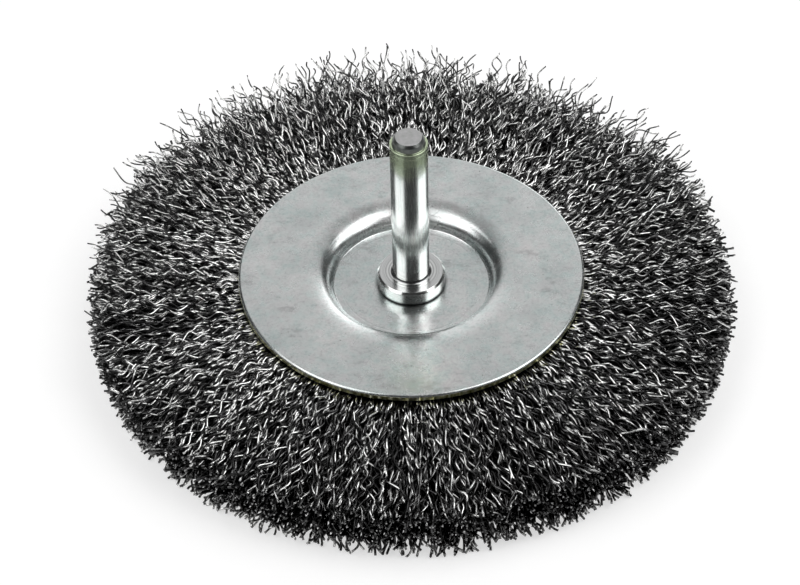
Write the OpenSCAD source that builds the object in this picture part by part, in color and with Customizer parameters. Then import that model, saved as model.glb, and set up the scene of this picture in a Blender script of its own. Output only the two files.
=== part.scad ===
// Wire wheel brush on a shank: crimped wire held between two dished flanges
// It lies flat on its wire tips with its shank up. The origin is on the axis, level with those tips.

/* [Brush] */
// Diameter over the longest wire tips
brush_d = 106; // [90:1:130]
// Width over the wire tips
rim_w = 11; // [7:0.1:14]
// Difference between the longest and the shortest wires
tip_scatter = 1.4; // [0:0.1:3]

/* [Wire bundles] */
// Number of bundles round the brush
bundles = 18; // [12:2:24]
// Strands of a bundle that lie side by side in one layer
columns = 4; // [2:1:5]
// Thickness of a strand, which is a lock of fine wires
strand_d = 1.1; // [0.6:0.05:1.2]
// Sideways swing of the crimp in a strand
crimp = 0.6; // [0.1:0.05:0.8]
// Distance from the flange's edge back to the pressed root of the bundles
root_setback = 0.4; // [0.1:0.1:1.5]
// Gap between neighbouring bundles at their roots
bundle_gap = 0.1; // [0.05:0.05:0.4]

/* [Flanges] */
// Outer diameter of each flange
flange_d = 56; // [52:1:70]
// Thickness of the flange sheet
sheet_t = 1; // [0.6:0.1:1.5]
// Depth of the dish pressed into each flange
dish_depth = 2.9; // [2:0.1:3.5]
// Diameter of the flat floor of the dish
dish_floor_d = 25; // [20:0.5:27]
// Slope of the dish wall where it is steepest
wall_angle = 80; // [65:1:85]
// Inside radius of the crease where the wall meets the floor
crease_r = 0.3; // [0.2:0.1:0.8]
// Width of the shallow lip over which the flat ring rolls into the dish
lip_w = 2.7; // [1.5:0.1:4]
// Slope at the inner end of that lip
lip_angle = 14; // [6:1:20]

/* [Holding ring] */
// Thickness of the flat ring that the wires are folded over
ring_t = 2.4; // [1.5:0.1:3.2]
// Height of the ring along the axis
ring_h = 3.2; // [1.5:0.1:3.8]
// Gap from the lip of the dish to the ring, and from the ring to the bundles
ring_gap = 0.15; // [0.1:0.05:0.3]

/* [Shank] */
// Diameter of the shank, which a chuck grips
shank_d = 6; // [4:0.5:8]
// Length of the shank above its collar
shank_len = 28.6; // [20:0.1:50]
// Width of the shoulder round the nose at the end of the shank
shoulder_w = 0.4; // [0.1:0.05:0.6]
// Height of the nose
nose_h = 1.3; // [0.3:0.1:2]
// Width of the slope round the nose
nose_slope_w = 0.5; // [0.3:0.05:1.2]
// Fillet where the shank meets its collar
base_fillet = 0.4; // [0.2:0.1:0.6]
// Diameter of the collar
collar_d = 11; // [10:0.1:16]
// Height of the collar
collar_h = 2.6; // [1.5:0.1:5]
// Chamfer round the top of the collar
collar_chamfer = 0.35; // [0.1:0.05:0.6]
// Chamfer round the foot of the collar
collar_foot = 0.25; // [0.1:0.05:0.5]
// Diameter of the tenon that passes through both flanges
tenon_d = 5; // [3:0.5:6]
// Gap round the tenon in the flanges
tenon_gap = 0.05; // [0.02:0.01:0.1]
// Diameter of the head that is peened over under the lower flange
head_d = 8.6; // [7:0.2:12]
// Height of the peened head
head_h = 1.5; // [0.8:0.1:1.9]
// Thickness of the peened head at its edge
head_edge = 0.5; // [0.2:0.1:0.7]

/* [Hidden] */
layers = 5;
layer_step = 2;
tip_step = 7;
crimp_bends = 3;
strand_sides = 3;
strand_sink = 0.6;
root_clear = 0.35;
point_grid = 0.001;
mouth_steps = 3;
lip_steps = 1;
crease_steps = 1;
fillet_steps = 2;
dome_steps = 3;
$fn = 96;

strand_r = strand_d / 2;
strand_foot = strand_r * cos(180 / strand_sides);
brush_r = brush_d / 2;
flange_r = flange_d / 2;
floor_r = dish_floor_d / 2;

// Heights of the flange sheets: the two dish floors lie on each other at mid_z, half way up the rim
flange_h = dish_depth + sheet_t;
mid_z = max(rim_w / 2, flange_h);
floor_top = mid_z + sheet_t;
floor_bottom = mid_z - sheet_t;
collar_top = floor_top + collar_h;
shank_top = collar_top + shank_len;

// The dish wall is three arcs that run on into each other: the crease, the mouth and the shallow lip.
// Their radii are those of the middle of the sheet.
crease_mid_r = crease_r + sheet_t / 2;
lip_mid_r = lip_w / sin(lip_angle);
crease_drop = crease_mid_r * (1 - cos(wall_angle));
lip_drop = lip_mid_r * (1 - cos(lip_angle));
mouth_mid_r = (dish_depth - crease_drop - lip_drop) / (cos(lip_angle) - cos(wall_angle));
mouth_w = mouth_mid_r * (sin(wall_angle) - sin(lip_angle));
lip_r = floor_r + crease_mid_r * sin(wall_angle) + mouth_w + lip_w;

// The ring lies just outside the lip, and the roots of the bundles lie against it
bundle_turn = 360 / bundles;
ring_in_r = lip_r + ring_gap;
root_in_r = (ring_in_r + ring_t + ring_gap) / cos(bundle_turn / 2);
root_out_r = flange_r - root_setback;

// Strands are sunk in the flat outer face of their bundle's root, and spread a little towards their tips
strands = columns * layers;
root_half = bundle_turn / 2 - asin(bundle_gap / 2 / root_out_r);
root_flat = root_out_r * cos(root_half);
root_edge = asin((strand_r + bundle_gap) / (root_flat - strand_sink));
root_turn = (bundle_turn - 2 * root_edge) * strands / (strands - 1);

bundle_names = [for (i = [1 : bundles]) str("wire_bundle_", i < 10 ? "0" : "", i)];

function polar(r, a) = [r * cos(a), r * sin(a)];
function blend(a, b, share) = a + (b - a) * share;
function arc(centre, r, a1, a2, steps) =
    [for (i = [0 : steps]) centre + polar(r, blend(a1, a2, i / steps))];

// One side of the pressed sheet, from the dish floor out to the flat ring
function sheet_side(side) =
    let (half = side * sheet_t / 2)
    let (crease_centre = [floor_r, sheet_t / 2 + crease_mid_r])
    let (lip_centre = [lip_r, dish_depth + sheet_t / 2 - lip_mid_r])
    let (mouth_centre = lip_centre + polar(lip_mid_r - mouth_mid_r, 90 + lip_angle))
    concat(
        arc(crease_centre, crease_mid_r - half, -90, -90 + wall_angle, crease_steps),
        tail(arc(mouth_centre, mouth_mid_r + half, 90 + wall_angle, 90 + lip_angle, mouth_steps)),
        tail(arc(lip_centre, lip_mid_r + half, 90 + lip_angle, 90, lip_steps)));

function tail(points) = [for (i = [1 : len(points) - 1]) points[i]];
function reversed(points) = [for (i = [len(points) - 1 : -1 : 0]) points[i]];

// A dished flange standing on its dish floor
module flange() {
    bore_r = tenon_d / 2 + tenon_gap;
    rotate_extrude()
        polygon(concat(
            [[bore_r, sheet_t]], sheet_side(1), [[flange_r, flange_h]],
            [[flange_r, dish_depth]], reversed(sheet_side(-1)), [[bore_r, 0]]));
}

module top_flange() {
    color("gainsboro") translate([0, 0, mid_z]) flange();
}

module bottom_flange() {
    color("gainsboro") translate([0, 0, mid_z]) mirror([0, 0, 1]) flange();
}

// The turned shank with its collar, its tenon and the head peened over below
module shank() {
    shank_r = shank_d / 2;
    nose_r = shank_r - shoulder_w;
    shoulder_top = shank_top - nose_h;
    collar_r = collar_d / 2;
    head_r = head_d / 2;
    head_foot = floor_bottom - head_h;
    dome_h = head_h - head_edge;
    dome_r = (head_r * head_r + dome_h * dome_h) / (2 * dome_h);
    dome_angle = asin(head_r / dome_r);
    color("silver") rotate_extrude()
        polygon(concat(
            arc([0, head_foot + dome_r], dome_r, -90, -90 + dome_angle, dome_steps),
            [[head_r, floor_bottom], [tenon_d / 2, floor_bottom], [tenon_d / 2, floor_top]],
            [[collar_r - collar_foot, floor_top], [collar_r, floor_top + collar_foot]],
            [[collar_r, collar_top - collar_chamfer], [collar_r - collar_chamfer, collar_top]],
            arc([shank_r + base_fillet, collar_top + base_fillet], base_fillet, -90, -180, fillet_steps),
            [[shank_r, shoulder_top], [nose_r, shoulder_top]],
            [[nose_r - nose_slope_w, shank_top], [0, shank_top]]));
}

// The ring between the flanges that the bundles are folded over
module core_ring() {
    color("slategray") translate([0, 0, mid_z - ring_h / 2])
        rotate_extrude() translate([ring_in_r, 0]) square([ring_t, ring_h]);
}

// Where strand i lies across its bundle, from -0.5 to 0.5
function strand_place(i) = (i + 0.5) / strands - 0.5;

// Place of one bend of a strand: number i of the bundle, bend j from the root to the tip
function strand_point(i, j) =
    let (out = j / crimp_bends, layer = (i * layer_step) % layers, side = i % 2 == 0 ? 1 : -1)
    let (level = layer / (layers - 1), place = strand_place(i))
    let (root_z = mid_z + (2 * level - 1) * (dish_depth - strand_r - root_clear))
    let (tip_z = mid_z - rim_w / 2 + blend(strand_foot, rim_w - strand_r, level))
    let (angle = blend(root_turn, bundle_turn, out) * place)
    let (root_r = (root_flat - strand_sink) / cos(root_turn * place))
    let (tip_r = brush_r - tip_scatter * ((i * tip_step) % strands) / strands)
    let (swing = j == 0 ? 0 : side * (j % 2 == 0 ? -crimp : crimp))
    let (at = polar(blend(root_r, tip_r, out), angle) + swing * polar(1, angle + 90))
    [at[0], at[1], blend(root_z, tip_z, out)];

function on_grid(point) = [for (x = point) round(x / point_grid) * point_grid];

// Corners of a strand at bend j, alike along the strand and on a fine grid so that its sides are flat
function strand_ring(i, j) =
    let (centre = on_grid(strand_point(i, j)), across = polar(1, bundle_turn * strand_place(i) + 90))
    [for (k = [0 : strand_sides - 1])
        let (corner = polar(strand_r, 90 + 360 * k / strand_sides))
        centre + on_grid([across[0] * corner[0], across[1] * corner[0], corner[1]])];

// A crimped strand as rings of corners joined by triangles
module strand(i) {
    last = crimp_bends * strand_sides;
    points = [for (j = [0 : crimp_bends]) each strand_ring(i, j)];
    sides = [
        for (j = [0 : crimp_bends - 1], k = [0 : strand_sides - 1])
            let (a = j * strand_sides + k, b = j * strand_sides + (k + 1) % strand_sides)
            each [[b, a, a + strand_sides], [b, a + strand_sides, b + strand_sides]]];
    root = [for (k = [0 : strand_sides - 1]) k];
    tip = [for (k = [strand_sides - 1 : -1 : 0]) last + k];
    polyhedron(points, concat(sides, [root, tip]));
}

// A bundle: its strands, and the slice of the pressed root that holds them
module wire_bundle(n) {
    inner_half = bundle_turn / 2 - asin(bundle_gap / 2 / root_in_r);
    color("dimgray") rotate(n * bundle_turn) {
        translate([0, 0, mid_z - dish_depth]) linear_extrude(2 * dish_depth)
            polygon([
                polar(root_in_r, -inner_half), polar(root_out_r, -root_half),
                polar(root_out_r, root_half), polar(root_in_r, inner_half)]);
        for (i = [0 : strands - 1]) strand(i);
    }
}

shank();
top_flange();
bottom_flange();
core_ring();
for (n = [0 : bundles - 1])
    wire_bundle(n);
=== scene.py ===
"""Looks of the wire wheel brush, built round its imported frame. All sizes are in metres."""

import math

import bpy
import numpy as np
from mathutils import Matrix, Vector


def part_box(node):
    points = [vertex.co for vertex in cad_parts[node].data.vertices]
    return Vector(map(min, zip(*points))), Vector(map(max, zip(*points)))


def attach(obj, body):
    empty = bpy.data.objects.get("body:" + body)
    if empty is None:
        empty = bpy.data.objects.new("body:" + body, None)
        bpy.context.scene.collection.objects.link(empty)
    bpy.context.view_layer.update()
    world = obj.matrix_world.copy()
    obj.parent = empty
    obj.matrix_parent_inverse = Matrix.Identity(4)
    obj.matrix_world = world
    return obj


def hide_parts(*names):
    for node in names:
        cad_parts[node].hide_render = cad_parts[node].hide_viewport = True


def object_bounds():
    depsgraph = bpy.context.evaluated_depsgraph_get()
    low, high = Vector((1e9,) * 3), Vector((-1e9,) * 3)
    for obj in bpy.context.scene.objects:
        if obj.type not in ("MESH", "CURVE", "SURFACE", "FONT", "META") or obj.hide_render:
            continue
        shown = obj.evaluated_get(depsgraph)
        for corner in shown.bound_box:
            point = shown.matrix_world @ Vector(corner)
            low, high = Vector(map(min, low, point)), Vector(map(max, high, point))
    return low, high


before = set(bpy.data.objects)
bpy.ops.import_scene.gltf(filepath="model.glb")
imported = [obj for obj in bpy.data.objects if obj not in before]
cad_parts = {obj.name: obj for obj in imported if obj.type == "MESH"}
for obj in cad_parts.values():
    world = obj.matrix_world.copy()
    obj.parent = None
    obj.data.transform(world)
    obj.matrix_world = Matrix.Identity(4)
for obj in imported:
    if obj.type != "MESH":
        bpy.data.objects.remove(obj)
cad_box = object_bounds()

MM = 0.001

# Sizes that the frame gives
flange_low, flange_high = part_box("top_flange")
shank_low, shank_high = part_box("shank")
FLANGE_R = flange_high.x
FLANGE_TOP = flange_high.z
MID_Z = flange_low.z
COLLAR_R = shank_high.x
SHANK_TOP = shank_high.z
HEAD_FOOT = shank_low.z
RING_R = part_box("core_ring")[1].x
BRUSH_R = cad_box[1].y
BUNDLE_NODES = sorted(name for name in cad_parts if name.startswith("wire_bundle"))
BUNDLE_TURN = math.tau / len(BUNDLE_NODES)

# Flanges: the sheet, the dish with its crease, wall and lip, the rim, and a faint groove in the dish floor
SHEET_T = 1 * MM
DISH_DEPTH = FLANGE_TOP - MID_Z - SHEET_T
DISH_FLOOR_R = 12.5 * MM
WALL_ANGLE = math.radians(80)
CREASE_R = 0.3 * MM
LIP_W = 2.7 * MM
LIP_ANGLE = math.radians(14)
BORE_R = 2.55 * MM
RIM_ROUND = 0.45 * MM
BURR_ROUND = 0.08 * MM
GROOVE_R = 11.5 * MM
GROOVE_W = 0.4 * MM
GROOVE_DEPTH = 0.012 * MM

# Shank: the bar, its nose, the turned line below it, the green cast, the collar, the tenon and the head
SHANK_R = 3 * MM
SHOULDER_W = 0.4 * MM
SHOULDER_ROUND = 0.1 * MM
NOSE_H = 1.3 * MM
NOSE_WALL_W = 0.1 * MM
NOSE_SLOPE_W = 0.5 * MM
NOSE_SLOPE_H = 0.45 * MM
NOSE_ROUND = 0.2 * MM
LINE_DROP = 0.85 * MM
LINE_W = 0.36 * MM
LINE_DEPTH = 0.01 * MM
LINE_ROUND = 0.3 * MM
TINT_H = (4 * MM, 7 * MM)
TINT_DRIFT = 1 * MM
COLLAR_H = 2.6 * MM
COLLAR_CHAMFER = 0.35 * MM
COLLAR_FOOT = 0.25 * MM
BASE_FILLET = 0.4 * MM
EDGE_ROUND = 0.08 * MM
# Width of the painted shade at the collar's foot, on the flange and on the collar
PAINTED_SHADE_W = 0.6 * MM
TENON_R = 2.5 * MM
HEAD_R = 4.3 * MM
HEAD_EDGE = 0.5 * MM

# Wires of a bundle, and the pressed root that holds them
WIRE_SEED = 41
WIRE_COLUMNS = 30
WIRE_ROWS = 12
WIRE_RINGS = 57
WIRE_SIDES = 3
WIRE_R = 0.22 * MM
WIRE_START_R = 25 * MM
LOWEST_WIRE = 0.2 * MM
ROOT_OUT_R = 27.2 * MM
ROOT_GAP = 0.05 * MM

# Shortest and longest waves, and least and most swings, of the crimp and of a slower wander
CRIMP_WAVE = (3.8 * MM, 5.2 * MM)
CRIMP_SWING = (0.42 * MM, 0.62 * MM)
CRIMP_RUN_IN = 2 * MM
WANDER_WAVE = (8 * MM, 15 * MM)
WANDER_SWING = (0.3 * MM, 0.9 * MM)

# Clumps of neighbouring wires, which share a pull to their middle, a lean, a lift and a reach
CLUMP_COLUMNS = 5
CLUMP_ROWS = 3
CLUMP_PULL = 0.15
CLUMP_LEAN = math.radians(1.6)
CLUMP_LIFT = 0.45 * MM
CLUMP_REACH = 0.5 * MM

# Lean of single wires, the powers by which lean and height grow outwards, and the places of the tips
WIRE_LEAN = math.radians(5.5)
LEAN_POWER = 1.4
HEIGHT_POWER = 1.2
TIP_HALF_Z = 5.1 * MM
TIP_SCATTER_Z = 0.6 * MM
TIP_INSET = 0.9 * MM
TIP_SHORTFALL = 1 * MM
TIP_SCATTER_R = 0.5 * MM
TIP_RANGE_R = (-5 * MM, 0.75 * MM)
TOP_SINK = 1.3 * MM

# Levels, from -1 at the lowest wires to 1 at the highest, where even ends stop and the upper side starts
EVEN_LEVELS = (-0.8, -0.2)
EVEN_SHARE = 0.3
UPPER_LEVELS = (-0.05, 0.75)

# Fine tips that flare up, most of them on one side of the brush
FLARE_SIDE = math.radians(95)
FLARE_POWER = 1.5
FLARE_SHARE = 0.95
FLARE_MEAN = 2.8 * MM
FLARE_MOST = 6.5 * MM
FLARE_THIN = 0.36
FLARE_STRETCH = (0.5, 0.9)

# Wires that stray across the others, with their shares on the lower and on the upper side
STRAY_SHARE = (0.0045, 0.0195)
STRAY_LEAN = math.radians(9)
STRAY_LIFT = 0.9 * MM

# Side on which the wires are worn shorter
WORN_SIDE = math.radians(72)
WORN_POWER = 3
WORN_DEPTH = 1.6 * MM

# Tones of the wires, with painted glints along them, painted shade on the deeper ones, and painted light on
# one side
SHADE_SPREAD = (2.5, 1.1)
# Painted shade of the deeper wires: the tone of the deepest, and how fast it lifts outwards
DEEP_SHADE_TONE = 0.22
DEEP_SHADE_POWER = 2
# Painted glints along the wires: their waves, the tone between them, and their edges
GLINT_WAVE = (2.4 * MM, 4.8 * MM)
GLINT_GAP_TONE = 0.1
GLINT_EDGE = (-0.5, 0.2)
# Painted light: the side on which the wires are painted brighter, and by how much
PAINTED_LIGHT_SIDE = math.radians(115)
PAINTED_LIGHT_GAIN = 0.4

# Layout of a bundle's map, in shares of its width, and in bands of its height for the root
MAP_WIRE_START = 0.02
MAP_WIRE_RUN = 0.88
MAP_TIP = (0.93, 0.97, 0.95)
MAP_FOOT_SHIFT = -0.01
MAP_BAND_GAP = 0.1
MAP_ROOT_START = 0.05
MAP_ROOT_RUN = 0.9
MAP_ROOT_FACE = 0.01
MAP_ROOT_BANDS = 8
MAP_ROOT_SPAN = (0.25, 0.75)

# Material slots of the flanges, the shank and the bundles
SHEET_SLOT, RIM_SLOT = range(2)
BAR_SLOT, NOSE_SLOT, END_SLOT, FACE_SLOT = range(4)
WIRE_SLOT, TIP_SLOT, ROOT_SLOT = range(3)

# Camera, fitted to the ring of the upper flange and the end of the shank
IMAGE_W = 800
SENSOR_W = 36
FOCAL_PX = 2292
CAMERA_DISTANCE = 371.2 * MM
CAMERA_ELEVATION = math.radians(44.33)
CAMERA_ROLL = math.radians(-1.16)
CAMERA_NEAR = 10 * MM
AIM_RIGHT_PX = 11.6
AIM_UP_PX = 23.3

# Floor: its paint, and the paint and glow that the camera and mirrors see, white in the lamps' light
FLOOR_HALF = 3
FLOOR_GAP = 0.1 * MM
FLOOR_PAINT = 0.92
FLOOR_SEEN_PAINT = 0.52
FLOOR_SEEN_GLOW = 0.6

# Lamps: name, azimuth and elevation in degrees, width and height, and radiance
LAMP_DISTANCE = 0.8
LAMPS = (
    ("lamp_left", -66, 45, (0.66, 0.38), 1.9),
    ("lamp_right", 84, 45, (0.68, 0.4), 2.35),
    ("lamp_over_left", -100, 68, (0.62, 0.37), 1.85),
    ("lamp_over_right", 100, 68, (0.62, 0.37), 2.15),
    ("lamp_back", 162, 23, (0.24, 0.28), 1.3))

# Brightness of the studio's walls, by the sine of the elevation
BACK_WALL = ((0, 0.9), (0.1, 1), (0.45, 1), (0.62, 0.74), (0.74, 0.66), (0.82, 0.3), (1, 0.24))
FRONT_WALL = ((0, 0.9), (0.05, 0.7), (0.12, 0.08), (0.4, 0.04), (1, 0.04))

# Where the front wall turns into the back wall, by the cosine of the angle from straight back
WALL_EDGE = (0.82, 0.98)

# Steps of a turn and of an arc, the loops beside an arc, a gap that counts as none, and a sharp edge's angle
TURN_STEPS = 256
ARC_STEPS = 8
SUPPORT = 0.04 * MM
NO_GAP = 1e-9
SHARP_ANGLE = math.radians(32)


def smooth(value, span):
    """Goes gently from 0 to 1 while a value goes through span."""
    share = np.clip((value - span[0]) / (span[1] - span[0]), 0, 1)
    return share * share * (3 - 2 * share)


def pick(rng, span, count):
    """Random values, spread evenly over span, as a column."""
    return rng.uniform(span[0], span[1], count)[:, None]


def grey(tone):
    """A colour of equal red, green and blue."""
    return (tone, tone, tone)


# Meshes


def make_piece(name, points, faces, slots, materials, flat=()):
    """A mesh object from arrays of faces, each array with its own slot. The slots in flat are faceted."""
    mesh = bpy.data.meshes.new(name)
    mesh.vertices.add(len(points))
    mesh.vertices.foreach_set("co", np.asarray(points, np.float32).ravel())
    corners = np.concatenate([part.ravel() for part in faces]).astype(np.int32)
    counts = np.concatenate([np.full(len(part), part.shape[1]) for part in faces])
    mesh.loops.add(len(corners))
    mesh.loops.foreach_set("vertex_index", corners)
    mesh.polygons.add(len(counts))
    mesh.polygons.foreach_set("loop_start", (np.cumsum(counts) - counts).astype(np.int32))
    slot_of_face = np.concatenate([np.full(len(part), slot) for part, slot in zip(faces, slots)])
    mesh.polygons.foreach_set("material_index", slot_of_face.astype(np.int32))
    mesh.polygons.foreach_set("use_smooth", ~np.isin(slot_of_face, flat))
    mesh.update(calc_edges=True)
    for material in materials:
        mesh.materials.append(material)
    piece = bpy.data.objects.new(name, mesh)
    bpy.context.scene.collection.objects.link(piece)
    return piece


def rounded(corners):
    """An outline through (radius, height, rounding) corners, with an arc at each rounded one."""
    spots = [Vector(corner[:2]) for corner in corners]
    outline = []
    for i, corner in enumerate(corners):
        rounding = corner[2]
        if rounding == 0:
            outline.append(spots[i])
            continue
        back = (spots[i - 1] - spots[i]).normalized()
        ahead = (spots[(i + 1) % len(spots)] - spots[i]).normalized()
        half = back.angle(ahead) / 2
        run = rounding / math.tan(half)
        centre = spots[i] + (back + ahead).normalized() * rounding / math.sin(half)
        first = spots[i] + back * run - centre
        turn = first.angle_signed(spots[i] + ahead * run - centre)
        outline.append(spots[i] + back * (run + SUPPORT))
        for step in range(ARC_STEPS + 1):
            outline.append(centre + Matrix.Rotation(-turn * step / ARC_STEPS, 2) @ first)
        outline.append(spots[i] + ahead * (run + SUPPORT))
    return outline


def lathe(name, outline, slot_at, materials):
    """Turns an outline, listed anticlockwise, round the axis. Points on the axis become poles."""
    turn = np.arange(TURN_STEPS) * math.tau / TURN_STEPS
    points = []
    rows = []
    for radius, height in outline:
        start = len(points)
        if radius < NO_GAP:
            points.append((0, 0, height))
            rows.append(np.full(TURN_STEPS, start))
        else:
            ring = zip(radius * np.cos(turn), radius * np.sin(turn), np.full(TURN_STEPS, height))
            points.extend(ring)
            rows.append(start + np.arange(TURN_STEPS))
    faces = []
    slots = []
    for i, row in enumerate(rows):
        above = rows[(i + 1) % len(rows)]
        here = outline[i]
        there = outline[(i + 1) % len(rows)]
        if max(here[0], there[0]) < NO_GAP:
            continue
        loop = [row, np.roll(row, -1), np.roll(above, -1), above]
        if here[0] < NO_GAP:
            loop = [row, np.roll(above, -1), above]
        elif there[0] < NO_GAP:
            loop = [row, np.roll(row, -1), above]
        faces.append(np.stack(loop, axis=1))
        slots.append(slot_at((here[0] + there[0]) / 2, (here[1] + there[1]) / 2))
    piece = make_piece(name, points, faces, slots, materials)
    piece.data.set_sharp_from_angle(angle=SHARP_ANGLE)
    return piece


# Materials


def color_ramp(tree, value, stops):
    """A value turned into colours by (place, colour) stops."""
    node = tree.nodes.new("ShaderNodeValToRGB")
    elements = node.color_ramp.elements
    while len(elements) < len(stops):
        elements.new(0.5)
    for element, (place, color) in zip(elements, stops):
        element.position = place
        element.color = (*color, 1)
    tree.links.new(value, node.inputs["Fac"])
    return node.outputs["Color"]


def level_part(tree, vector):
    """A vector with its height set to 0."""
    node = tree.nodes.new("ShaderNodeVectorMath")
    node.operation = "MULTIPLY"
    node.inputs[1].default_value = (1, 1, 0)
    tree.links.new(vector, node.inputs[0])
    return node.outputs["Vector"]


class Surface:
    """A metal material whose nodes are added one by one."""

    def __init__(self, name, color, roughness):
        self.material = bpy.data.materials.new(name)
        self.material.use_nodes = True
        self.tree = self.material.node_tree
        self.shader = self.tree.nodes["Principled BSDF"]
        self.shader.inputs["Metallic"].default_value = 1
        self.shader.inputs["Base Color"].default_value = (*color, 1)
        self.shader.inputs["Roughness"].default_value = roughness
        self.place = self.tree.nodes.new("ShaderNodeTexCoord").outputs["Object"]

    def link(self, output, target):
        self.tree.links.new(output, target)

    def noise(self, size, detail=4, stretch=(1, 1, 1), roughness=0.55):
        """Noise whose spots are about size metres across."""
        mapping = self.tree.nodes.new("ShaderNodeMapping")
        mapping.inputs["Scale"].default_value = stretch
        self.link(self.place, mapping.inputs["Vector"])
        node = self.tree.nodes.new("ShaderNodeTexNoise")
        node.inputs["Scale"].default_value = 1 / size
        node.inputs["Detail"].default_value = detail
        node.inputs["Roughness"].default_value = roughness
        self.link(mapping.outputs["Vector"], node.inputs["Vector"])
        return node.outputs["Fac"]

    def height(self):
        """Height above the lowest wires, in metres."""
        node = self.tree.nodes.new("ShaderNodeSeparateXYZ")
        self.link(self.place, node.inputs[0])
        return node.outputs["Z"]

    def radius(self):
        """Distance from the axis, in metres."""
        node = self.tree.nodes.new("ShaderNodeVectorMath")
        node.operation = "LENGTH"
        self.link(level_part(self.tree, self.place), node.inputs[0])
        return node.outputs["Value"]

    def rings(self, size):
        """Noise in rings round the axis, about size metres wide."""
        node = self.tree.nodes.new("ShaderNodeTexNoise")
        node.noise_dimensions = "1D"
        node.inputs["Scale"].default_value = 1 / size
        self.link(self.radius(), node.inputs["W"])
        return node.outputs["Fac"]

    def ramp(self, value, *stops):
        """A value turned into colours by (place, colour) stops."""
        return color_ramp(self.tree, value, stops)

    def spread(self, value, low, high, span=(0.3, 0.7)):
        """A value stretched from span, where most of a noise lies, to low and high."""
        node = self.tree.nodes.new("ShaderNodeMapRange")
        node.inputs["From Min"].default_value = span[0]
        node.inputs["From Max"].default_value = span[1]
        node.inputs["To Min"].default_value = low
        node.inputs["To Max"].default_value = high
        self.link(value, node.inputs["Value"])
        return node.outputs["Result"]

    def painted_shade(self, value, span, dark=0.3):
        """A painted shade that goes from dark to white while a value goes through span."""
        return self.ramp(self.spread(value, 0, 1, span), (0, grey(dark)), (1, grey(1)))

    def add(self, first, second):
        """The sum of two values."""
        node = self.tree.nodes.new("ShaderNodeMath")
        self.link(first, node.inputs[0])
        self.link(second, node.inputs[1])
        return node.outputs[0]

    def multiply(self, color, *shades):
        """A colour multiplied by one shade after another."""
        for shade in shades:
            node = self.tree.nodes.new("ShaderNodeMix")
            node.data_type = "RGBA"
            node.blend_type = "MULTIPLY"
            node.inputs["Factor"].default_value = 1
            self.link(color, node.inputs["A"])
            self.link(shade, node.inputs["B"])
            color = node.outputs["Result"]
        return color

    def bump(self, height, depth, strength=1.0, over=None):
        """Relief of a depth in metres, laid over another relief where one is given."""
        node = self.tree.nodes.new("ShaderNodeBump")
        node.inputs["Strength"].default_value = strength
        node.inputs["Distance"].default_value = depth
        self.link(height, node.inputs["Height"])
        if over:
            self.link(over, node.inputs["Normal"])
        return node.outputs["Normal"]

    def set(self, **outputs):
        """Links outputs to the shader's inputs of the same names and gives the material."""
        for name, output in outputs.items():
            self.link(output, self.shader.inputs[name.replace("_", " ")])
        return self.material


def zinc_sheet():
    """Zinc plated sheet: pale, cloudy, faintly blue-green, with stains and pits, and painted shade round the
    collar.
    """
    surface = Surface("zinc_sheet", (0.7, 0.73, 0.73), 0.28)
    clouds = surface.ramp(
        surface.noise(9 * MM, detail=5),
        (0.3, (0.58, 0.63, 0.625)), (0.52, (0.71, 0.74, 0.735)), (0.72, (0.79, 0.795, 0.79)))
    blooms = surface.ramp(
        surface.noise(1.8 * MM, stretch=(1, 1, 0.5)),
        (0.36, (0.93, 0.98, 0.975)), (0.5, grey(1)), (0.64, (1, 0.97, 0.98)))
    stains = surface.ramp(
        surface.noise(4 * MM, detail=6, stretch=(1, 1.6, 1), roughness=0.65),
        (0.28, grey(0.72)), (0.42, grey(0.96)), (0.6, grey(1)))
    pits = surface.ramp(
        surface.noise(0.55 * MM, detail=2),
        (0.235, grey(0.25)), (0.27, grey(1)))
    specks = surface.ramp(
        surface.noise(0.4 * MM, detail=3, roughness=0.7),
        (0.3, grey(0.8)), (0.5, grey(0.96)), (0.66, grey(1)))
    # Painted shade: the sheet darkens towards the collar's foot and is dark under it
    painted_foot_shade = surface.painted_shade(surface.radius(), (COLLAR_R, COLLAR_R + PAINTED_SHADE_W))
    color = surface.multiply(clouds, blooms, stains, pits, specks, painted_foot_shade)
    roughness = surface.spread(surface.noise(3 * MM, detail=5), 0.2, 0.3)
    dents = surface.bump(surface.noise(7 * MM, detail=2), 0.05 * MM, strength=0.5)
    peel = surface.bump(surface.noise(1.1 * MM, detail=2), 0.02 * MM, strength=0.4, over=dents)
    grain = surface.bump(surface.noise(0.3 * MM, detail=3), 0.006 * MM, strength=0.5, over=peel)
    return surface.set(Base_Color=color, Roughness=roughness, Normal=grain)


def sheared_edge():
    """Cut edge of the sheet: torn steel under yellow passivation."""
    surface = Surface("sheared_edge", (0.6, 0.58, 0.35), 0.28)
    color = surface.ramp(
        surface.noise(0.6 * MM, detail=3, stretch=(1, 1, 0.3)),
        (0.36, (0.30, 0.29, 0.10)), (0.5, (0.60, 0.59, 0.32)), (0.64, (0.80, 0.80, 0.60)))
    torn = surface.noise(0.3 * MM, detail=3, stretch=(1, 1, 0.3))
    return surface.set(Base_Color=color, Normal=surface.bump(torn, 0.03 * MM, strength=0.6))


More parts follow.
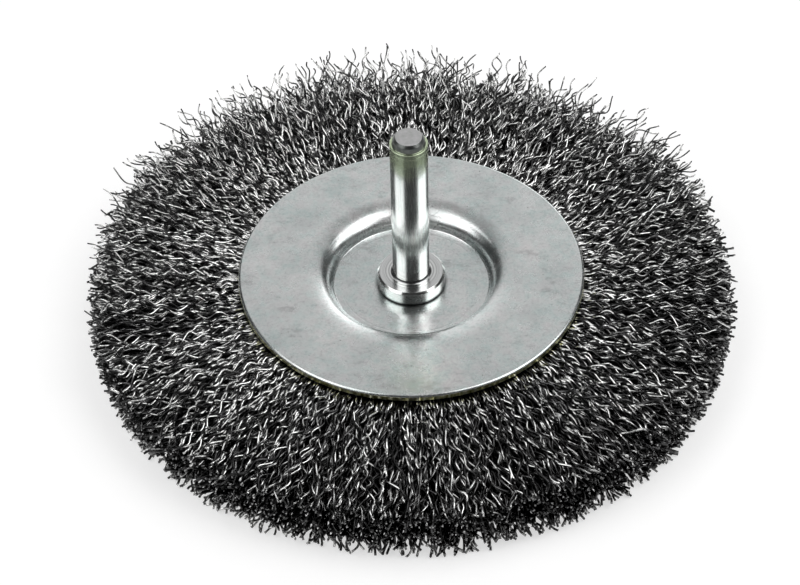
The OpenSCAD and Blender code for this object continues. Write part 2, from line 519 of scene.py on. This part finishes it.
def turned_steel():
    """Polished zinc plated bar: fine turning marks, a green cast near its end, and painted shade at its foot,
    which stays dark below it.
    """
    surface = Surface("turned_steel", (0.78, 0.79, 0.78), 0.16)
    plating = surface.ramp(
        surface.noise(6 * MM),
        (0.3, (0.72, 0.75, 0.72)), (0.55, (0.80, 0.81, 0.80)), (0.75, (0.84, 0.84, 0.83)))
    drift = surface.spread(surface.noise(3 * MM, detail=2), -TINT_DRIFT, TINT_DRIFT)
    reach = surface.add(surface.height(), drift)
    span = (SHANK_TOP - TINT_H[1], SHANK_TOP - TINT_H[0])
    cast = surface.ramp(surface.spread(reach, 0, 1, span), (0, grey(1)), (1, (0.72, 0.82, 0.59)))
    # Painted shade: darker towards the foot of the collar, and dark below it
    painted_foot_shade = surface.painted_shade(surface.height(), (MID_Z + SHEET_T, MID_Z + SHEET_T + PAINTED_SHADE_W))
    color = surface.multiply(plating, cast, painted_foot_shade)
    polish = surface.spread(surface.noise(2 * MM, stretch=(1, 1, 0.4)), 0.08, 0.15)
    roughness = surface.add(polish, surface.spread(reach, 0, 0.12, span))
    turned = surface.noise(0.6 * MM, detail=2, stretch=(0.15, 0.15, 4))
    marks = surface.bump(turned, 0.006 * MM, strength=0.5)
    return surface.set(Base_Color=color, Roughness=roughness, Normal=marks)


def turned_face():
    """Top of the collar: turned in rings, with painted shade in the corner round the shank."""
    surface = Surface("turned_face", (0.62, 0.63, 0.63), 0.2)
    plating = surface.ramp(
        surface.rings(0.25 * MM),
        (0.3, (0.50, 0.51, 0.51)), (0.5, (0.62, 0.63, 0.63)), (0.7, (0.72, 0.73, 0.72)))
    # Painted shade in the corner where the collar meets the shank
    corner = surface.painted_shade(surface.radius(), (SHANK_R, SHANK_R + BASE_FILLET), dark=0.15)
    marks = surface.bump(surface.rings(0.16 * MM), 0.008 * MM, strength=0.6)
    return surface.set(Base_Color=surface.multiply(plating, corner), Normal=marks)


def sawn_end():
    """Cut end of the shank: dull grey, with faint saw marks."""
    surface = Surface("sawn_end", (0.54, 0.54, 0.54), 0.42)
    color = surface.ramp(
        surface.noise(0.8 * MM),
        (0.3, (0.41, 0.42, 0.41)), (0.7, (0.55, 0.54, 0.55)))
    sawn = surface.noise(0.35 * MM, detail=3, stretch=(1, 0.3, 1))
    return surface.set(Base_Color=color, Normal=surface.bump(sawn, 0.01 * MM, strength=0.6))


def turned_nose():
    """Nose of the shank: darker and rougher than the bar, with turning marks."""
    surface = Surface("turned_nose", (0.16, 0.17, 0.16), 0.32)
    color = surface.ramp(
        surface.noise(0.9 * MM, detail=3),
        (0.3, (0.11, 0.12, 0.115)), (0.7, (0.19, 0.2, 0.19)))
    turned = surface.noise(0.5 * MM, detail=2, stretch=(0.2, 0.2, 4))
    return surface.set(Base_Color=color, Normal=surface.bump(turned, 0.01 * MM, strength=0.6))


def ring_steel():
    """Plain steel of the holding ring."""
    surface = Surface("ring_steel", grey(0.4), 0.4)
    color = surface.ramp(surface.noise(2 * MM), (0.3, grey(0.3)), (0.7, (0.45, 0.45, 0.44)))
    return surface.set(Base_Color=color)


def brush_wire():
    """Hard drawn wire, each length with its own tone, which also carries painted glints, painted shade and
    painted light.
    """
    surface = Surface("brush_wire", grey(0.4), 0.18)
    tone = surface.tree.nodes.new("ShaderNodeAttribute")
    tone.attribute_name = "tone"
    color = surface.ramp(tone.outputs["Fac"], (0, grey(0.02)), (0.22, grey(0.12)), (0.46, (0.88, 0.88, 0.87)))
    roughness = surface.spread(surface.noise(1.5 * MM, detail=3), 0.16, 0.26)
    return surface.set(Base_Color=color, Roughness=roughness)


def cut_wire_end():
    """Cut tips of the wires, some of them bright; their mostly dark tone is painted shade of the rim."""
    surface = Surface("cut_wire_end", grey(0.3), 0.35)
    color = surface.ramp(surface.noise(0.5 * MM), (0.4, grey(0.05)), (0.7, grey(0.5)))
    return surface.set(Base_Color=color)


def pressed_root():
    """Wires pressed together between the flanges, with ridges about as wide as a wire; their dark colour is
    painted shade of the packed inside.
    """
    surface = Surface("pressed_root", grey(0.12), 0.45)
    ridges = surface.noise(0.35 * MM, detail=2)
    color = surface.ramp(ridges, (0.35, grey(0.03)), (0.65, grey(0.22)))
    return surface.set(Base_Color=color, Normal=surface.bump(ridges, 0.1 * MM))


# Flanges and shank


def arc(centre, radius, start, end):
    """Points on an arc in the plane of radius and height, from the angle start to end."""
    angles = np.linspace(start, end, 2 * ARC_STEPS + 1)
    return [centre + radius * Vector((math.cos(angle), math.sin(angle))) for angle in angles]


def sheet_side(side):
    """One face of the pressed sheet, from the dish floor to the flat ring. side is 1 in the dish, else -1."""
    half = side * SHEET_T / 2
    upright = math.pi / 2
    crease = CREASE_R + SHEET_T / 2
    lip = LIP_W / math.sin(LIP_ANGLE)
    drop = DISH_DEPTH - crease * (1 - math.cos(WALL_ANGLE)) - lip * (1 - math.cos(LIP_ANGLE))
    mouth = drop / (math.cos(LIP_ANGLE) - math.cos(WALL_ANGLE))
    mouth_w = mouth * (math.sin(WALL_ANGLE) - math.sin(LIP_ANGLE))
    lip_r = DISH_FLOOR_R + crease * math.sin(WALL_ANGLE) + mouth_w + LIP_W
    crease_centre = Vector((DISH_FLOOR_R, SHEET_T / 2 + crease))
    lip_centre = Vector((lip_r, DISH_DEPTH + SHEET_T / 2 - lip))
    mouth_centre = lip_centre + (lip - mouth) * Vector((-math.sin(LIP_ANGLE), math.cos(LIP_ANGLE)))
    return (
        arc(crease_centre, crease - half, -upright, WALL_ANGLE - upright)
        + arc(mouth_centre, mouth + half, upright + WALL_ANGLE, upright + LIP_ANGLE)[1:]
        + arc(lip_centre, lip + half, upright + LIP_ANGLE, upright)[1:])


def flange(name, side, materials):
    """A dished flange. side is 1 for the upper one and -1 for its twin below."""
    under = sheet_side(-1)
    upper = sheet_side(1)
    rim = rounded([
        (*under[-1], 0),
        (FLANGE_R, DISH_DEPTH, BURR_ROUND),
        (FLANGE_R, DISH_DEPTH + SHEET_T, RIM_ROUND),
        (*upper[-1], 0)])
    dish_floor = rounded([
        (*upper[0], 0),
        (GROOVE_R + GROOVE_W / 2, SHEET_T, GROOVE_W / 2),
        (GROOVE_R, SHEET_T - GROOVE_DEPTH, GROOVE_W / 3),
        (GROOVE_R - GROOVE_W / 2, SHEET_T, GROOVE_W / 2),
        (BORE_R, SHEET_T, 0),
        (BORE_R, 0, 0)])
    corners = under[:-1] + rim + upper[-2:0:-1] + dish_floor
    outline = [(radius, MID_Z + side * height) for radius, height in corners]
    if side < 0:
        outline.reverse()
    edge_r = FLANGE_R - BURR_ROUND / 2

    def slot_at(radius, height):
        return RIM_SLOT if radius > edge_r else SHEET_SLOT

    piece = lathe(name + "_sheet", outline, slot_at, materials)
    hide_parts(name)
    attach(piece, "root")
    return piece


def shank(materials):
    """The turned shank with its collar, tenon and peened head."""
    floor_top = MID_Z + SHEET_T
    collar_top = floor_top + COLLAR_H
    shoulder_top = SHANK_TOP - NOSE_H
    line_z = shoulder_top - LINE_DROP
    nose_r = SHANK_R - SHOULDER_W
    head_top = MID_Z - SHEET_T
    dome_h = head_top - HEAD_EDGE - HEAD_FOOT
    dome_r = (HEAD_R ** 2 + dome_h ** 2) / (2 * dome_h)
    dome_angle = math.asin(HEAD_R / dome_r)
    dome = []
    for step in range(ARC_STEPS):
        angle = dome_angle * step / ARC_STEPS
        dome.append((dome_r * math.sin(angle), HEAD_FOOT + dome_r * (1 - math.cos(angle))))
    corners = [
        (HEAD_R, head_top - HEAD_EDGE, 0),
        (HEAD_R, head_top, EDGE_ROUND),
        (TENON_R, head_top, 0),
        (TENON_R, floor_top, 0),
        (COLLAR_R - COLLAR_FOOT, floor_top, 0),
        (COLLAR_R, floor_top + COLLAR_FOOT, EDGE_ROUND),
        (COLLAR_R, collar_top - COLLAR_CHAMFER, EDGE_ROUND),
        (COLLAR_R - COLLAR_CHAMFER, collar_top, EDGE_ROUND),
        (SHANK_R, collar_top, BASE_FILLET),
        (SHANK_R, line_z - LINE_W / 2, LINE_ROUND),
        (SHANK_R - LINE_DEPTH, line_z, LINE_ROUND),
        (SHANK_R, line_z + LINE_W / 2, LINE_ROUND),
        (SHANK_R, shoulder_top, SHOULDER_ROUND),
        (nose_r, shoulder_top, EDGE_ROUND),
        (nose_r - NOSE_WALL_W, SHANK_TOP - NOSE_SLOPE_H, NOSE_ROUND),
        (nose_r - NOSE_SLOPE_W, SHANK_TOP, NOSE_ROUND),
        (0, SHANK_TOP, 0),
    ]
    outline = dome + [tuple(spot) for spot in rounded(corners)]
    margin = EDGE_ROUND / 4

    def slot_at(radius, height):
        if height > SHANK_TOP - margin:
            return END_SLOT
        if height > shoulder_top + margin:
            return NOSE_SLOT
        beside_bar = SHANK_R + NO_GAP < radius < COLLAR_R - COLLAR_CHAMFER
        return FACE_SLOT if beside_bar and abs(height - collar_top) < BASE_FILLET else BAR_SLOT

    piece = lathe("shank_bar", outline, slot_at, materials)
    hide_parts("shank")
    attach(piece, "root")
    return piece


# Wire bundles


def clump_scatter(across, level, rng):
    """Lean, lift and reach of each wire's tip: a part that its clump shares, and a part of its own."""
    count = len(across)
    column = np.floor((across + 0.5) * CLUMP_COLUMNS).astype(int)
    row = np.floor((level + 1) / 2 * CLUMP_ROWS).astype(int)
    clump = row * CLUMP_COLUMNS + column
    clumps = CLUMP_COLUMNS * CLUMP_ROWS
    clump_across = (column + 0.5) / CLUMP_COLUMNS - 0.5
    lean = rng.normal(0, CLUMP_LEAN, clumps)[clump] + rng.normal(0, WIRE_LEAN, count)
    lean += CLUMP_PULL * (clump_across - across) * BUNDLE_TURN
    lift = rng.normal(0, CLUMP_LIFT, clumps)[clump] + rng.normal(0, TIP_SCATTER_Z, count)
    reach = rng.normal(0, CLUMP_REACH, clumps)[clump] + rng.normal(0, TIP_SCATTER_R, count)
    reach -= rng.exponential(TIP_SHORTFALL, count)
    return lean, lift, reach


def crimp(radius, out, rng):
    """Sideways and upward swings along the wires: the crimp and a slow wander, each in planes of its own."""
    count = len(radius)
    sideways = np.zeros_like(radius)
    upward = np.zeros_like(radius)
    run_in = smooth(radius - FLANGE_R, (0, CRIMP_RUN_IN))
    for wave, swing, growth in ((CRIMP_WAVE, CRIMP_SWING, run_in), (WANDER_WAVE, WANDER_SWING, out)):
        plane = pick(rng, (0, math.tau), count)
        phase = pick(rng, (0, math.tau), count)
        length = pick(rng, wave, count)
        offset = pick(rng, swing, count) * growth
        offset = offset * np.sin(math.tau * radius / length + phase)
        sideways += np.cos(plane) * offset
        upward += np.sin(plane) * offset
    return sideways, upward


def wire_tones(radius, outerness, rng):
    """Tone along each wire: painted glints, bright and dark by turns, and painted shade that makes it darker
    the deeper the wire lies.
    """
    count = len(radius)
    # Painted glints: bright and dark stretches by turns along each wire
    length = pick(rng, GLINT_WAVE, count)
    phase = pick(rng, (0, math.tau), count)
    glint = smooth(np.sin(math.tau * radius / length + phase), GLINT_EDGE)
    # A random tone for each wire, darkened by painted shade the deeper the wire lies
    shade = rng.beta(*SHADE_SPREAD, count) * (DEEP_SHADE_TONE + (1 - DEEP_SHADE_TONE) * outerness ** DEEP_SHADE_POWER)
    return shade[:, None] * (GLINT_GAP_TONE + (1 - GLINT_GAP_TONE) * glint)


def wire_paths(bundle, rng):
    """Centre lines of a bundle's wires, as an array of wires, rings and x, y, z, with radii and tones."""
    count = WIRE_COLUMNS * WIRE_ROWS
    grid = np.arange(count)
    across = (grid % WIRE_COLUMNS + rng.random(count)) / WIRE_COLUMNS - 0.5
    level = 2 * (grid // WIRE_COLUMNS + rng.random(count)) / WIRE_ROWS - 1
    heading = BUNDLE_TURN * (bundle + across)
    lean, lift, reach = clump_scatter(across, level, rng)

    # The lowest wires, which lie on the floor, end more evenly
    reach *= EVEN_SHARE + (1 - EVEN_SHARE) * smooth(level, EVEN_LEVELS)

    # Some wires of the upper side flare up to fine tips, most of them on one side of the brush
    upper = smooth(level, UPPER_LEVELS)
    flare_side = (0.5 + 0.5 * np.cos(heading - FLARE_SIDE)) ** FLARE_POWER
    flare = np.minimum(rng.exponential(FLARE_MEAN, count), FLARE_MOST)
    flare *= rng.random(count) < FLARE_SHARE * upper * flare_side
    lift += flare

    # A few stray sideways across the others
    stray_low, stray_high = STRAY_SHARE
    stray = rng.random(count) < stray_low + (stray_high - stray_low) * upper
    lean += np.where(stray, rng.normal(0, STRAY_LEAN, count), 0)
    lift += np.where(stray, STRAY_LIFT * rng.random(count), 0)

    # The wires of one side are worn shorter
    worn = WORN_DEPTH * np.maximum(np.cos(heading - WORN_SIDE), 0) ** WORN_POWER
    tip_r = BRUSH_R - TIP_INSET - worn + np.clip(reach, *TIP_RANGE_R)
    tip_z = MID_Z + TIP_HALF_Z * level - TOP_SINK * upper + lift

    # Each wire runs from the root to its tip, with its crimp on the way
    root_z = MID_Z + (DISH_DEPTH - WIRE_R - ROOT_GAP) * level
    share = np.linspace(0, 1, WIRE_RINGS)
    radius = WIRE_START_R + (tip_r - WIRE_START_R)[:, None] * share
    out = np.clip((radius - FLANGE_R) / (tip_r - FLANGE_R)[:, None], 0, 1)
    angle = heading[:, None] + lean[:, None] * out ** LEAN_POWER
    height = root_z[:, None] + (tip_z - root_z)[:, None] * out ** HEIGHT_POWER
    sideways, upward = crimp(radius, out, rng)
    height = np.maximum(height + upward, LOWEST_WIRE + WIRE_R * rng.random(count)[:, None])
    paths = np.stack([
        radius * np.cos(angle) - sideways * np.sin(angle),
        radius * np.sin(angle) + sideways * np.cos(angle),
        height], axis=2)

    # Flared wires are thinner towards their tips, and painted light makes the wires of one side brighter
    fine = FLARE_THIN * smooth(flare, (0, FLARE_MEAN))
    thickness = WIRE_R * (1 - fine[:, None] * smooth(share, FLARE_STRETCH))
    # Painted light: the wires of one side are painted brighter
    painted_light = 1 + PAINTED_LIGHT_GAIN * np.cos(heading - PAINTED_LIGHT_SIDE)
    return paths, thickness, wire_tones(radius, np.abs(level), rng) * painted_light[:, None]


def tube_corners(paths, thickness, rng):
    """Corners of the tubes round the centre lines: wires, rings, sides and x, y, z."""
    along = np.gradient(paths, axis=1)
    along /= np.linalg.norm(along, axis=2, keepdims=True)
    side = np.cross(along, (0, 0, 1))
    side /= np.linalg.norm(side, axis=2, keepdims=True)
    rise = np.cross(side, along)
    turn = pick(rng, (0, math.tau), len(paths)) + np.arange(WIRE_SIDES) * math.tau / WIRE_SIDES
    turn = turn[:, None, :, None]
    spoke = np.cos(turn) * side[:, :, None] + np.sin(turn) * rise[:, :, None]
    return paths[:, :, None] + thickness[:, :, None, None] * spoke


def root_block(bundle):
    """Corners and faces of the pressed root that holds a bundle's wires."""
    steps = np.linspace(-0.5, 0.5, ARC_STEPS + 1)
    inner_r = RING_R + 2 * ROOT_GAP
    low = MID_Z - DISH_DEPTH + ROOT_GAP / 2
    high = MID_Z + DISH_DEPTH - ROOT_GAP / 2
    points = []
    for radius in (inner_r, ROOT_OUT_R):
        angle = BUNDLE_TURN * bundle + (BUNDLE_TURN - 2 * ROOT_GAP / radius) * steps
        for height in (low, high):
            edge = [radius * np.cos(angle), radius * np.sin(angle), np.full(len(steps), height)]
            points.append(np.stack(edge, axis=1))
    points = np.concatenate(points)
    inner_low, inner_high, outer_low, outer_high = np.arange(len(points)).reshape(4, -1)

    def strip(first, second):
        return np.stack([first[:-1], first[1:], second[1:], second[:-1]], axis=1)

    ends = np.array([
        [inner_low[0], outer_low[0], outer_high[0], inner_high[0]],
        [outer_low[-1], inner_low[-1], inner_high[-1], outer_high[-1]]])
    faces = np.concatenate([
        strip(outer_low, outer_high), strip(inner_high, inner_low),
        strip(inner_low, outer_low), strip(outer_high, inner_high), ends])
    return points, faces


def bake_map(piece, wires):
    """A map for baking: one band for each wire with its two ends, and more bands for the root."""
    bands = wires + MAP_ROOT_BANDS
    low = (np.arange(wires) + MAP_BAND_GAP) / bands
    high = low + (1 - 2 * MAP_BAND_GAP) / bands
    rings = MAP_WIRE_START + MAP_WIRE_RUN * np.arange(WIRE_RINGS) / (WIRE_RINGS - 1)
    shape = (wires, WIRE_RINGS - 1, WIRE_SIDES, 4)
    along = np.empty(shape)
    along[..., (0, 3)] = rings[:-1, None, None]
    along[..., (1, 2)] = rings[1:, None, None]
    across = np.empty(shape)
    across[..., (0, 1)] = low[:, None, None, None]
    across[..., (2, 3)] = high[:, None, None, None]
    tips_u = np.tile(MAP_TIP, (wires, 1))
    feet_u = tips_u + MAP_FOOT_SHIFT
    ends_v = np.stack([low, low, high], axis=1)
    root_faces = (len(piece.data.loops) - along.size - tips_u.size - feet_u.size) // 4
    face, corner = np.divmod(np.arange(4 * root_faces), 4)
    root_u = MAP_ROOT_START + MAP_ROOT_RUN * face / root_faces + MAP_ROOT_FACE * np.isin(corner, (1, 2))
    root_v = (wires + MAP_ROOT_BANDS * np.where(corner > 1, MAP_ROOT_SPAN[1], MAP_ROOT_SPAN[0])) / bands
    u = np.concatenate([along.ravel(), tips_u.ravel(), feet_u.ravel(), root_u])
    v = np.concatenate([across.ravel(), ends_v.ravel(), ends_v.ravel(), root_v])
    layer = piece.data.uv_layers.new(name="OFBake")
    layer.uv.foreach_set("vector", np.stack([u, v], axis=1).astype(np.float32).ravel())


def wire_bundle(bundle, name, materials):
    """One bundle: its wires as closed tubes, and the pressed root that holds them."""
    rng = np.random.default_rng(WIRE_SEED + bundle)
    paths, thickness, tones = wire_paths(bundle, rng)
    corners = tube_corners(paths, thickness, rng)
    number = np.arange(corners[..., 0].size).reshape(corners.shape[:3])
    beside = np.roll(number, -1, axis=2)
    sides = np.stack([number[:, :-1], number[:, 1:], beside[:, 1:], beside[:, :-1]], axis=3).reshape(-1, 4)
    tips = number[:, -1, ::-1]
    feet = number[:, 0]
    block_points, block_faces = root_block(bundle)
    points = np.concatenate([corners.reshape(-1, 3), block_points])
    faces = [sides, tips, feet, block_faces + number.size]
    slots = [WIRE_SLOT, TIP_SLOT, ROOT_SLOT, ROOT_SLOT]
    piece = make_piece(name + "_wires", points, faces, slots, materials, flat=(TIP_SLOT, ROOT_SLOT))
    # The tone holds each wire's own tone with its painted glints, painted shade and painted side light
    tone = np.zeros(len(points), np.float32)
    tone[:number.size] = np.repeat(tones.ravel(), WIRE_SIDES)
    piece.data.attributes.new("tone", "FLOAT", "POINT").data.foreach_set("value", tone)
    bake_map(piece, len(paths))
    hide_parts(name)
    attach(piece, "root")
    return piece


# Stage


def diffuse(tree, tone):
    """Plain grey paint."""
    node = tree.nodes.new("ShaderNodeBsdfDiffuse")
    node.inputs["Color"].default_value = (*grey(tone), 1)
    return node.outputs[0]


def floor():
    """A wide pale floor that stays white where no shadow falls on it."""
    material = bpy.data.materials.new("floor")
    material.use_nodes = True
    tree = material.node_tree
    tree.nodes.clear()
    rays = tree.nodes.new("ShaderNodeLightPath")
    seen = rays.outputs["Is Camera Ray"]
    for ray in ("Is Glossy Ray", "Is Transmission Ray"):
        either = tree.nodes.new("ShaderNodeMath")
        either.operation = "MAXIMUM"
        tree.links.new(seen, either.inputs[0])
        tree.links.new(rays.outputs[ray], either.inputs[1])
        seen = either.outputs[0]
    glow = tree.nodes.new("ShaderNodeEmission")
    glow.inputs["Strength"].default_value = FLOOR_SEEN_GLOW
    backdrop = tree.nodes.new("ShaderNodeAddShader")
    tree.links.new(diffuse(tree, FLOOR_SEEN_PAINT), backdrop.inputs[0])
    tree.links.new(glow.outputs[0], backdrop.inputs[1])
    mix = tree.nodes.new("ShaderNodeMixShader")
    tree.links.new(seen, mix.inputs["Fac"])
    tree.links.new(diffuse(tree, FLOOR_PAINT), mix.inputs[1])
    tree.links.new(backdrop.outputs[0], mix.inputs[2])
    output = tree.nodes.new("ShaderNodeOutputMaterial")
    tree.links.new(mix.outputs[0], output.inputs["Surface"])
    points = [(x * FLOOR_HALF, y * FLOOR_HALF, -FLOOR_GAP) for x, y in ((-1, -1), (1, -1), (1, 1), (-1, 1))]
    make_piece("floor", points, [np.array([[0, 1, 2, 3]])], [0], [material])


def softbox(name, azimuth, elevation, size, radiance):
    """A rectangular lamp aimed at the origin. Azimuth runs from the camera's side towards the right."""
    data = bpy.data.lights.new(name, "AREA")
    data.shape = "RECTANGLE"
    data.size, data.size_y = size
    data.energy = radiance * math.pi * size[0] * size[1]
    lamp = bpy.data.objects.new(name, data)
    azimuth = math.radians(azimuth)
    elevation = math.radians(elevation)
    away = Vector((
        math.sin(azimuth) * math.cos(elevation),
        -math.cos(azimuth) * math.cos(elevation),
        math.sin(elevation)))
    lamp.location = away * LAMP_DISTANCE
    lamp.rotation_euler = away.to_track_quat("Z", "Y").to_euler()
    bpy.context.scene.collection.objects.link(lamp)


def studio():
    """A plain studio: a pale wall behind the brush, a dark one behind the camera, and five soft lamps."""
    for lamp in LAMPS:
        softbox(*lamp)
    world = bpy.data.worlds.new("studio")
    bpy.context.scene.world = world
    world.use_nodes = True
    tree = world.node_tree
    direction = tree.nodes.new("ShaderNodeTexCoord").outputs["Generated"]
    height = tree.nodes.new("ShaderNodeSeparateXYZ")
    tree.links.new(direction, height.inputs[0])
    heading = tree.nodes.new("ShaderNodeVectorMath")
    heading.operation = "NORMALIZE"
    tree.links.new(level_part(tree, direction), heading.inputs[0])
    compass = tree.nodes.new("ShaderNodeSeparateXYZ")
    tree.links.new(heading.outputs[0], compass.inputs[0])
    backness = tree.nodes.new("ShaderNodeMapRange")
    backness.interpolation_type = "SMOOTHSTEP"
    backness.inputs["From Min"].default_value = WALL_EDGE[0]
    backness.inputs["From Max"].default_value = WALL_EDGE[1]
    tree.links.new(compass.outputs["Y"], backness.inputs["Value"])
    walls = tree.nodes.new("ShaderNodeMix")
    walls.data_type = "RGBA"
    tree.links.new(backness.outputs["Result"], walls.inputs["Factor"])
    for side, wall in (("A", FRONT_WALL), ("B", BACK_WALL)):
        stops = [(place, grey(tone)) for place, tone in wall]
        tree.links.new(color_ramp(tree, height.outputs["Z"], stops), walls.inputs[side])
    tree.links.new(walls.outputs["Result"], tree.nodes["Background"].inputs["Color"])


def camera():
    """A camera at the photograph's angle, aimed so that the flange lies where it does there."""
    aim = Vector((0, 0, FLANGE_TOP))
    right = Vector((1, 0, 0))
    forward = Vector((0, math.cos(CAMERA_ELEVATION), -math.sin(CAMERA_ELEVATION)))
    up = right.cross(forward)
    place = aim - forward * CAMERA_DISTANCE
    pan = Matrix.Rotation(math.atan2(AIM_RIGHT_PX, FOCAL_PX), 3, up)
    forward = pan @ forward
    right = pan @ right
    tilt = Matrix.Rotation(math.atan2(-AIM_UP_PX, FOCAL_PX), 3, right)
    forward = tilt @ forward
    up = tilt @ up
    roll = Matrix.Rotation(-CAMERA_ROLL, 3, forward)
    right = roll @ right
    up = roll @ up
    data = bpy.data.cameras.new("camera")
    data.sensor_fit = "HORIZONTAL"
    data.sensor_width = SENSOR_W
    data.lens = FOCAL_PX / IMAGE_W * SENSOR_W
    data.clip_start = CAMERA_NEAR
    view = bpy.data.objects.new("camera", data)
    view.matrix_world = Matrix.Translation(place) @ Matrix((right, up, -forward)).transposed().to_4x4()
    bpy.context.scene.collection.objects.link(view)
    bpy.context.scene.camera = view


zinc = zinc_sheet()
edge = sheared_edge()
flange("top_flange", 1, [zinc, edge])
flange("bottom_flange", -1, [zinc, edge])
shank([turned_steel(), turned_nose(), sawn_end(), turned_face()])
core_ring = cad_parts["core_ring"]
core_ring.data.materials.clear()
core_ring.data.materials.append(ring_steel())
wire_materials = [brush_wire(), cut_wire_end(), pressed_root()]
for index, node in enumerate(BUNDLE_NODES):
    wire_bundle(index, node, wire_materials)

floor()
studio()
camera()
bpy.context.scene.view_settings.view_transform = "Standard"
